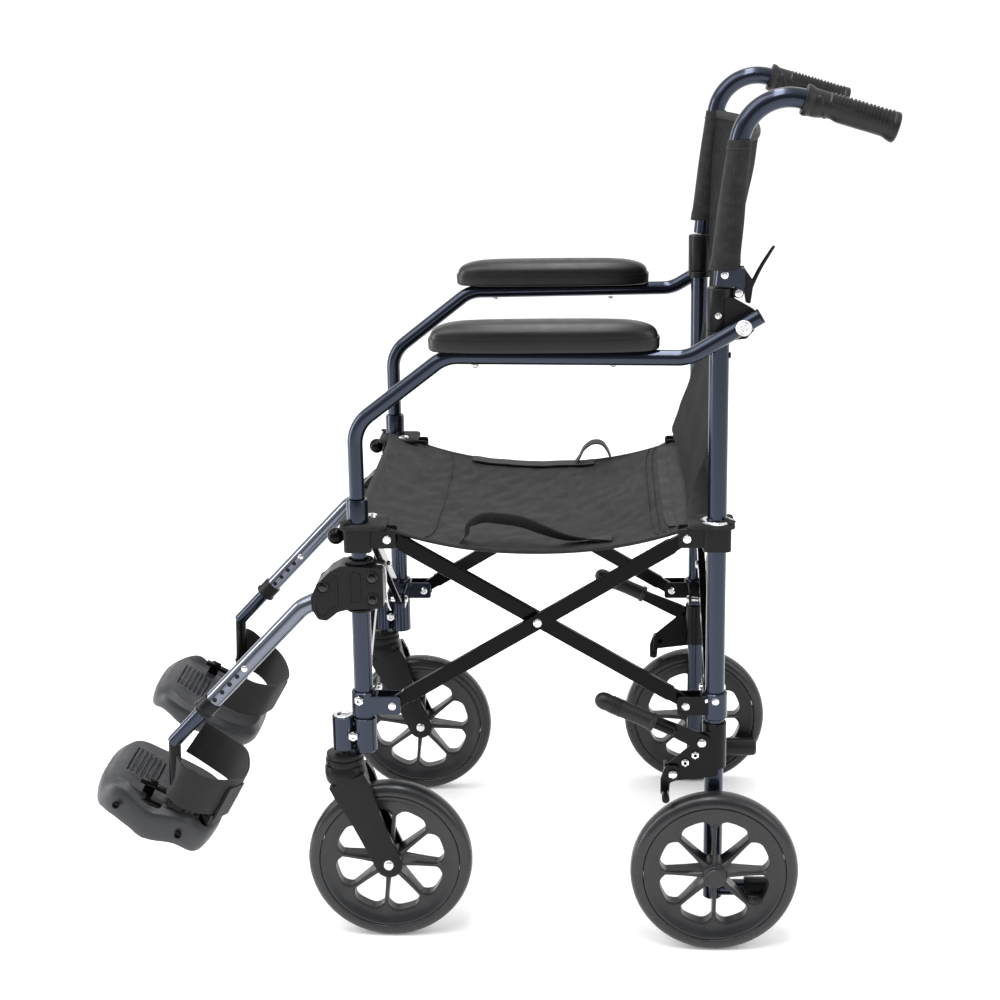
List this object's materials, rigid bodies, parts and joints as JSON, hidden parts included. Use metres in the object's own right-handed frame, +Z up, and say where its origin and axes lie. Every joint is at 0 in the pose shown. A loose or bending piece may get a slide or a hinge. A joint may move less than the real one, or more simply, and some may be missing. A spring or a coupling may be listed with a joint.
{
  "type": "transport wheelchair",
  "caption": "Folding transport wheelchair: tube posts joined by scissor braces on all sides, cloth seat and back, flip-up armrests, swing-away footrests, spoked wheels, rear wheel locks.",
  "frame": {"origin": "on the floor under the middle of the chair's outer box", "axes": "+Z up, the chair faces -Y, +X is the sitter's left side"},
  "size_m": [0.496, 0.8393, 0.9047],
  "materials": {
    "frame_tube": "metallic gunmetal paint, satin gloss",
    "hanger_tube": "bright gunmetal, polished",
    "brace": "gloss black powder coat",
    "black_metal": "black powder coat",
    "plastic": "satin moulded black",
    "rim": "moulded black, fine texture",
    "tyre": "solid polyurethane, satin",
    "grip": "soft black rubber",
    "pad": "moulded soft skin, fine grain",
    "hardware": "bright zinc",
    "cloth": "charcoal woven polyester",
    "webbing": "black ribbed webbing"
  },
  "bodies": {
    "left_rear_frame": {"left_rear_post": "frame_tube", "left_lock_bracket": "black_metal", "left_hinge_sleeve": "plastic"},
    "left_side_bar_a": {"left_side_brace_a": "brace"},
    "left_side_bar_b": {"left_side_brace_b": "brace"},
    "left_front_frame": {"left_front_post": "frame_tube"},
    "left_rear_collar": {"left_rear_collar": "plastic", "seat_sling": "cloth"},
    "left_front_collar": {"left_front_collar": "plastic"},
    "rear_bar_a": {"rear_brace_a": "brace"},
    "rear_bar_b": {"rear_brace_b": "brace"},
    "right_rear_frame": {"right_rear_post": "frame_tube", "right_lock_bracket": "black_metal", "right_hinge_sleeve": "plastic"},
    "right_side_bar_a": {"right_side_brace_a": "brace"},
    "right_side_bar_b": {"right_side_brace_b": "brace"},
    "right_front_frame": {"right_front_post": "frame_tube"},
    "right_rear_collar": {"right_rear_collar": "plastic"},
    "right_front_collar": {"right_front_collar": "plastic"},
    "front_bar_a": {"front_brace_a": "brace"},
    "front_bar_b": {"front_brace_b": "brace"},
    "left_plunger_pin": {"left_plunger": "plastic"},
    "left_rear_wheel": {"left_rear_wheel_rim": "rim", "left_rear_wheel_tyre": "tyre"},
    "left_caster": {"left_caster_fork": "plastic"},
    "left_front_wheel": {"left_front_wheel_rim": "rim", "left_front_wheel_tyre": "tyre"},
    "left_lock_lever": {"left_lock_lever": "black_metal"},
    "left_lock_shoe": {"left_lock_shoe": "black_metal"},
    "left_cane": {"left_back_cane": "frame_tube", "left_hand_grip": "grip", "back_sling": "cloth"},
    "left_release": {"left_back_release": "plastic"},
    "left_arm_bolt": {"left_armrest_bolt": "hardware"},
    "left_armrest": {"left_armrest_tube": "frame_tube", "left_armrest_pad": "pad"},
    "left_footrest": {"left_footrest_clamp": "plastic", "left_footrest_hanger": "hanger_tube"},
    "left_foot_extension": {"left_footrest_tube": "hanger_tube"},
    "left_footplate": {"left_footplate": "plastic", "left_heel_loop": "webbing"},
    "right_plunger_pin": {"right_plunger": "plastic"},
    "right_rear_wheel": {"right_rear_wheel_rim": "rim", "right_rear_wheel_tyre": "tyre"},
    "right_caster": {"right_caster_fork": "plastic"},
    "right_front_wheel": {"right_front_wheel_rim": "rim", "right_front_wheel_tyre": "tyre"},
    "right_lock_lever": {"right_lock_lever": "black_metal"},
    "right_lock_shoe": {"right_lock_shoe": "black_metal"},
    "right_cane": {"right_back_cane": "frame_tube", "right_hand_grip": "grip"},
    "right_release": {"right_back_release": "plastic"},
    "right_arm_bolt": {"right_armrest_bolt": "hardware"},
    "right_armrest": {"right_armrest_tube": "frame_tube", "right_armrest_pad": "pad"},
    "right_footrest": {"right_footrest_clamp": "plastic", "right_footrest_hanger": "hanger_tube"},
    "right_foot_extension": {"right_footrest_tube": "hanger_tube"},
    "right_footplate": {"right_footplate": "plastic", "right_heel_loop": "webbing"}
  },
  "joints": [
    {"name": "frame_fold", "type": "hinge", "parent": "left_rear_frame", "child": "left_side_bar_a", "pos_m": [0.2, 0.2157, 0.268], "axis": [-1, 0, 0], "range_deg": [0, 35], "deforming": ["seat_sling", "back_sling"]},
    {"name": "left_side_middle", "type": "hinge", "parent": "left_side_bar_a", "child": "left_side_bar_b", "pos_m": [0.2, 0.0612, 0.3595], "axis": [1, 0, 0], "range_deg": [0, 70]},
    {"name": "left_front_low_pivot", "type": "hinge", "parent": "left_side_bar_b", "child": "left_front_frame", "pos_m": [0.2, -0.0933, 0.268], "axis": [-1, 0, 0], "range_deg": [0, 35]},
    {"name": "left_rear_high_pivot", "type": "hinge", "parent": "left_side_bar_b", "child": "left_rear_collar", "pos_m": [0.2, 0.2157, 0.451], "axis": [-1, 0, 0], "range_deg": [0, 35]},
    {"name": "left_front_high_pivot", "type": "hinge", "parent": "left_side_bar_a", "child": "left_front_collar", "pos_m": [0.2, -0.0933, 0.451], "axis": [1, 0, 0], "range_deg": [0, 35]},
    {"name": "rear_a_fold", "type": "hinge", "parent": "left_rear_frame", "child": "rear_bar_a", "pos_m": [0.1545, 0.2467, 0.268], "axis": [0, 1, 0], "range_deg": [0, 35]},
    {"name": "rear_middle", "type": "hinge", "parent": "rear_bar_a", "child": "rear_bar_b", "pos_m": [0, 0.2467, 0.3595], "axis": [0, -1, 0], "range_deg": [0, 70]},
    {"name": "rear_right_low_pivot", "type": "hinge", "parent": "rear_bar_b", "child": "right_rear_frame", "pos_m": [-0.1545, 0.2467, 0.268], "axis": [0, 1, 0], "range_deg": [0, 35]},
    {"name": "right_side_a_fold", "type": "hinge", "parent": "right_rear_frame", "child": "right_side_bar_a", "pos_m": [-0.2, 0.2157, 0.268], "axis": [-1, 0, 0], "range_deg": [0, 35]},
    {"name": "right_side_middle", "type": "hinge", "parent": "right_side_bar_a", "child": "right_side_bar_b", "pos_m": [-0.2, 0.0612, 0.3595], "axis": [1, 0, 0], "range_deg": [0, 70]},
    {"name": "right_front_low_pivot", "type": "hinge", "parent": "right_side_bar_b", "child": "right_front_frame", "pos_m": [-0.2, -0.0933, 0.268], "axis": [-1, 0, 0], "range_deg": [0, 35]},
    {"name": "right_rear_high_pivot", "type": "hinge", "parent": "right_side_bar_b", "child": "right_rear_collar", "pos_m": [-0.2, 0.2157, 0.451], "axis": [-1, 0, 0], "range_deg": [0, 35]},
    {"name": "right_front_high_pivot", "type": "hinge", "parent": "right_side_bar_a", "child": "right_front_collar", "pos_m": [-0.2, -0.0933, 0.451], "axis": [1, 0, 0], "range_deg": [0, 35]},
    {"name": "front_a_fold", "type": "hinge", "parent": "left_front_frame", "child": "front_bar_a", "pos_m": [0.1545, -0.1243, 0.268], "axis": [0, 1, 0], "range_deg": [0, 35]},
    {"name": "front_b_fold", "type": "hinge", "parent": "right_front_frame", "child": "front_bar_b", "pos_m": [-0.1545, -0.1243, 0.268], "axis": [0, -1, 0], "range_deg": [0, 35]},
    {"name": "left_plunger_pull", "type": "slide", "parent": "left_front_collar", "child": "left_plunger_pin", "axis": [0, -1, 0], "range_m": [0, 0.008], "stiffness_N_per_m": 150},
    {"name": "left_rear_wheel_spin", "type": "hinge", "parent": "left_rear_frame", "child": "left_rear_wheel", "pos_m": [0.2275, 0.2467, 0.089], "axis": [1, 0, 0], "continuous": true},
    {"name": "left_caster_swivel", "type": "hinge", "parent": "left_front_frame", "child": "left_caster", "pos_m": [0.2, -0.1473, 0.235], "axis": [0, 0, 1], "continuous": true},
    {"name": "left_front_wheel_spin", "type": "hinge", "parent": "left_caster", "child": "left_front_wheel", "pos_m": [0.2, -0.1013, 0.089], "axis": [1, 0, 0], "continuous": true},
    {"name": "left_wheel_lock", "type": "hinge", "parent": "left_rear_frame", "child": "left_lock_lever", "pos_m": [0.2, 0.2327, 0.23], "axis": [1, 0, 0], "range_deg": [0, 40]},
    {"name": "left_lock_shoe_swing", "type": "hinge", "parent": "left_rear_frame", "child": "left_lock_shoe", "pos_m": [0.2, 0.2027, 0.194], "axis": [1, 0, 0], "range_deg": [0, 16]},
    {"name": "back_fold", "type": "hinge", "parent": "left_rear_frame", "child": "left_cane", "pos_m": [0.2, 0.2647, 0.704], "axis": [-1, 0, 0], "range_deg": [0, 100]},
    {"name": "left_back_release_pull", "type": "hinge", "parent": "left_cane", "child": "left_release", "pos_m": [0.2, 0.2677, 0.724], "axis": [-1, 0, 0], "range_deg": [0, 20], "stiffness_Nm_per_rad": 0.3},
    {"name": "left_armrest_stow", "type": "hinge", "parent": "left_rear_frame", "child": "left_arm_bolt", "pos_m": [0.2228, 0.2687, 0.673], "axis": [-1, 0, 0], "range_deg": [0, 60]},
    {"name": "left_armrest_flip", "type": "hinge", "parent": "left_arm_bolt", "child": "left_armrest", "pos_m": [0.2228, 0.2687, 0.673], "axis": [1, 0, 0], "range_deg": [-60, 0]},
    {"name": "left_footrest_swing", "type": "hinge", "parent": "left_front_frame", "child": "left_footrest", "pos_m": [0.2, -0.1243, 0.394], "axis": [0, 0, -1], "range_deg": [-90, 0]},
    {"name": "left_footrest_length", "type": "slide", "parent": "left_footrest", "child": "left_foot_extension", "axis": [0, -0.6905, -0.7234], "range_m": [-0.03, 0.02]},
    {"name": "left_footplate_flip", "type": "hinge", "parent": "left_foot_extension", "child": "left_footplate", "pos_m": [0.188, -0.3313, 0.152], "axis": [0, 0.8829, -0.4695], "range_deg": [0, 90], "deforming": ["left_heel_loop"]},
    {"name": "right_plunger_pull", "type": "slide", "parent": "right_front_collar", "child": "right_plunger_pin", "axis": [0, -1, 0], "range_m": [0, 0.008], "stiffness_N_per_m": 150},
    {"name": "right_rear_wheel_spin", "type": "hinge", "parent": "right_rear_frame", "child": "right_rear_wheel", "pos_m": [-0.2275, 0.2467, 0.089], "axis": [1, 0, 0], "continuous": true},
    {"name": "right_caster_swivel", "type": "hinge", "parent": "right_front_frame", "child": "right_caster", "pos_m": [-0.2, -0.1473, 0.235], "axis": [0, 0, 1], "continuous": true},
    {"name": "right_front_wheel_spin", "type": "hinge", "parent": "right_caster", "child": "right_front_wheel", "pos_m": [-0.2, -0.1013, 0.089], "axis": [1, 0, 0], "continuous": true},
    {"name": "right_wheel_lock", "type": "hinge", "parent": "right_rear_frame", "child": "right_lock_lever", "pos_m": [-0.2, 0.2327, 0.23], "axis": [1, 0, 0], "range_deg": [0, 40]},
    {"name": "right_lock_shoe_swing", "type": "hinge", "parent": "right_rear_frame", "child": "right_lock_shoe", "pos_m": [-0.2, 0.2027, 0.194], "axis": [1, 0, 0], "range_deg": [0, 16]},
    {"name": "right_back_fold", "type": "hinge", "parent": "right_rear_frame", "child": "right_cane", "pos_m": [-0.2, 0.2647, 0.704], "axis": [-1, 0, 0], "range_deg": [0, 100]},
    {"name": "right_back_release_pull", "type": "hinge", "parent": "right_cane", "child": "right_release", "pos_m": [-0.2, 0.2677, 0.724], "axis": [-1, 0, 0], "range_deg": [0, 20], "stiffness_Nm_per_rad": 0.3},
    {"name": "right_armrest_stow", "type": "hinge", "parent": "right_rear_frame", "child": "right_arm_bolt", "pos_m": [-0.2228, 0.2687, 0.673], "axis": [-1, 0, 0], "range_deg": [0, 60]},
    {"name": "right_armrest_flip", "type": "hinge", "parent": "right_arm_bolt", "child": "right_armrest", "pos_m": [-0.2228, 0.2687, 0.673], "axis": [1, 0, 0], "range_deg": [-60, 0]},
    {"name": "right_footrest_swing", "type": "hinge", "parent": "right_front_frame", "child": "right_footrest", "pos_m": [-0.2, -0.1243, 0.394], "axis": [0, 0, 1], "range_deg": [-90, 0]},
    {"name": "right_footrest_length", "type": "slide", "parent": "right_footrest", "child": "right_foot_extension", "axis": [0, -0.6905, -0.7234], "range_m": [-0.03, 0.02]},
    {"name": "right_footplate_flip", "type": "hinge", "parent": "right_foot_extension", "child": "right_footplate", "pos_m": [-0.188, -0.3313, 0.152], "axis": [0, -0.8829, 0.4695], "range_deg": [0, 90], "deforming": ["right_heel_loop"]}
  ],
  "couplings": [
    {"joint": "left_side_middle", "follows": "frame_fold", "ratio": 2},
    {"joint": "left_front_low_pivot", "follows": "frame_fold", "ratio": 1},
    {"joint": "left_rear_high_pivot", "follows": "frame_fold", "ratio": 1},
    {"joint": "left_front_high_pivot", "follows": "frame_fold", "ratio": 1},
    {"joint": "rear_a_fold", "follows": "frame_fold", "ratio": 1},
    {"joint": "rear_middle", "follows": "frame_fold", "ratio": 2},
    {"joint": "rear_right_low_pivot", "follows": "frame_fold", "ratio": 1},
    {"joint": "right_side_a_fold", "follows": "frame_fold", "ratio": 1},
    {"joint": "right_side_middle", "follows": "frame_fold", "ratio": 2},
    {"joint": "right_front_low_pivot", "follows": "frame_fold", "ratio": 1},
    {"joint": "right_rear_high_pivot", "follows": "frame_fold", "ratio": 1},
    {"joint": "right_front_high_pivot", "follows": "frame_fold", "ratio": 1},
    {"joint": "front_a_fold", "follows": "frame_fold", "ratio": 1},
    {"joint": "front_b_fold", "follows": "frame_fold", "ratio": 1},
    {"joint": "left_lock_shoe_swing", "follows": "left_wheel_lock", "ratio": 0.4},
    {"joint": "left_armrest_stow", "follows": "frame_fold", "ratio": 1.7143},
    {"joint": "left_footplate_flip", "follows": "frame_fold", "ratio": 2.5714},
    {"joint": "right_lock_shoe_swing", "follows": "right_wheel_lock", "ratio": 0.4},
    {"joint": "right_back_fold", "follows": "back_fold", "ratio": 1},
    {"joint": "right_armrest_stow", "follows": "frame_fold", "ratio": 1.7143},
    {"joint": "right_footplate_flip", "follows": "frame_fold", "ratio": 2.5714}
  ]
}
